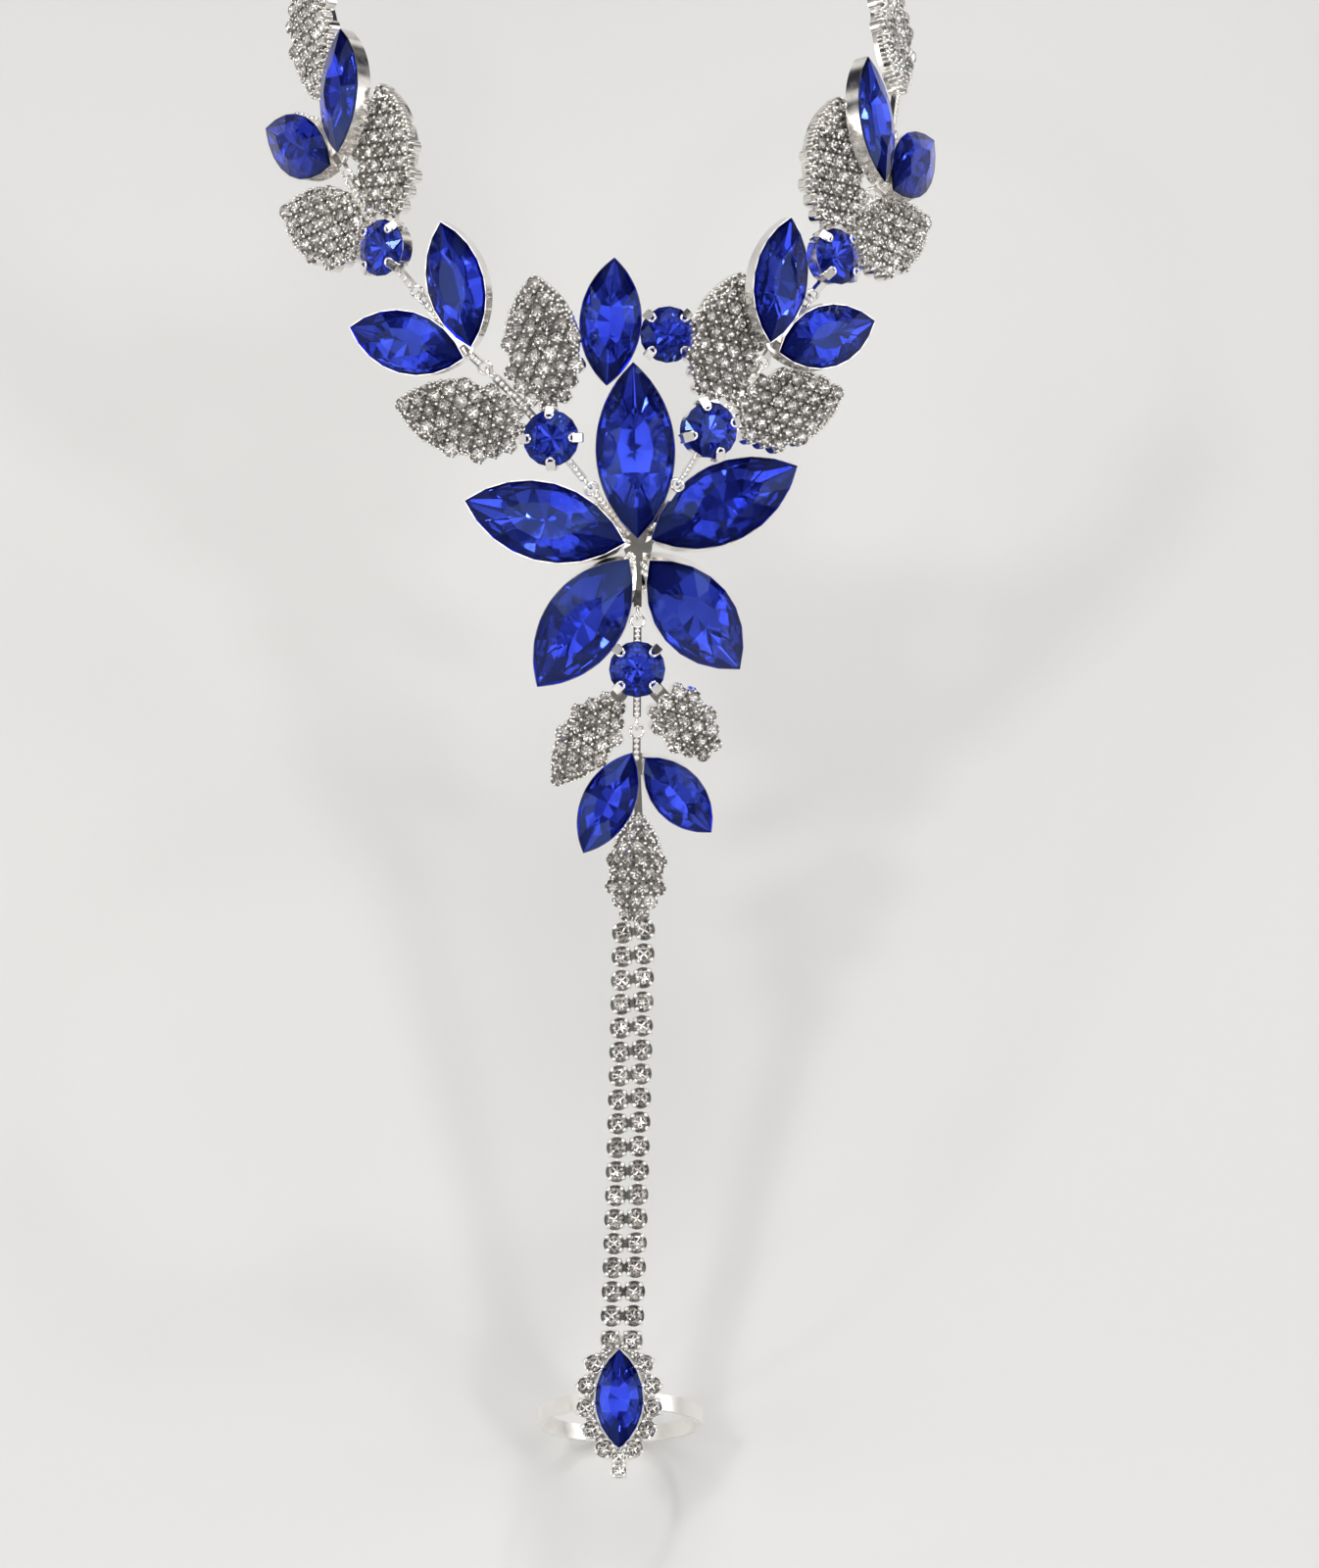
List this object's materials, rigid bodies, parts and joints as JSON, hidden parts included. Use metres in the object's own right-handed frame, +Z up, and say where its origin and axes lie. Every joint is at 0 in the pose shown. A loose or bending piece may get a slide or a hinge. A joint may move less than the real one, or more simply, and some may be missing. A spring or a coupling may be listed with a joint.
{
  "type": "barefoot sandal",
  "caption": "barefoot sandal jewel: anklet of stone-set leaves and blue marquise stones, flower, instep drop, cup chain and toe ring",
  "frame": {"origin": "middle of the ankle loop, level with its sides, where the ankle is", "axes": "+X to the right of the instep as it is looked at from the toes, +Y from the toes to the heel, +Z up"},
  "size_m": [0.0853, 0.2062, 0.1165],
  "materials": {
    "silver": "polished silver plate",
    "blue_stone": "faceted royal blue foiled glass",
    "clear_stone": "faceted clear foiled glass"
  },
  "bodies": {
    "root": {"front_setting": "silver", "flower_setting": "silver", "left_pair_setting_1": "silver", "right_pair_setting_1": "silver", "left_spray": "silver", "right_spray": "silver", "left_pair_setting_2": "silver", "right_pair_setting_2": "silver", "left_end_leaf": "silver", "right_end_leaf": "silver", "drop_spray": "silver", "drop_pair_setting": "silver", "chain_cups": "silver", "toe_ring": "silver", "left_back_chain": "silver", "right_back_chain": "silver", "clasp": "silver", "petal_1": "blue_stone", "petal_2": "blue_stone", "petal_3": "blue_stone", "petal_4": "blue_stone", "petal_5": "blue_stone", "top_marquise": "blue_stone", "left_marquise_1": "blue_stone", "left_marquise_2": "blue_stone", "left_marquise_3": "blue_stone", "left_marquise_4": "blue_stone", "right_marquise_1": "blue_stone", "right_marquise_2": "blue_stone", "right_marquise_3": "blue_stone", "right_marquise_4": "blue_stone", "drop_marquise_left": "blue_stone", "drop_marquise_right": "blue_stone", "toe_marquise": "blue_stone", "top_round": "blue_stone", "left_round_1": "blue_stone", "left_round_2": "blue_stone", "right_round_1": "blue_stone", "right_round_2": "blue_stone", "drop_round": "blue_stone", "halo_stones": "clear_stone", "chain_stones": "clear_stone"}
  },
  "joints": []
}
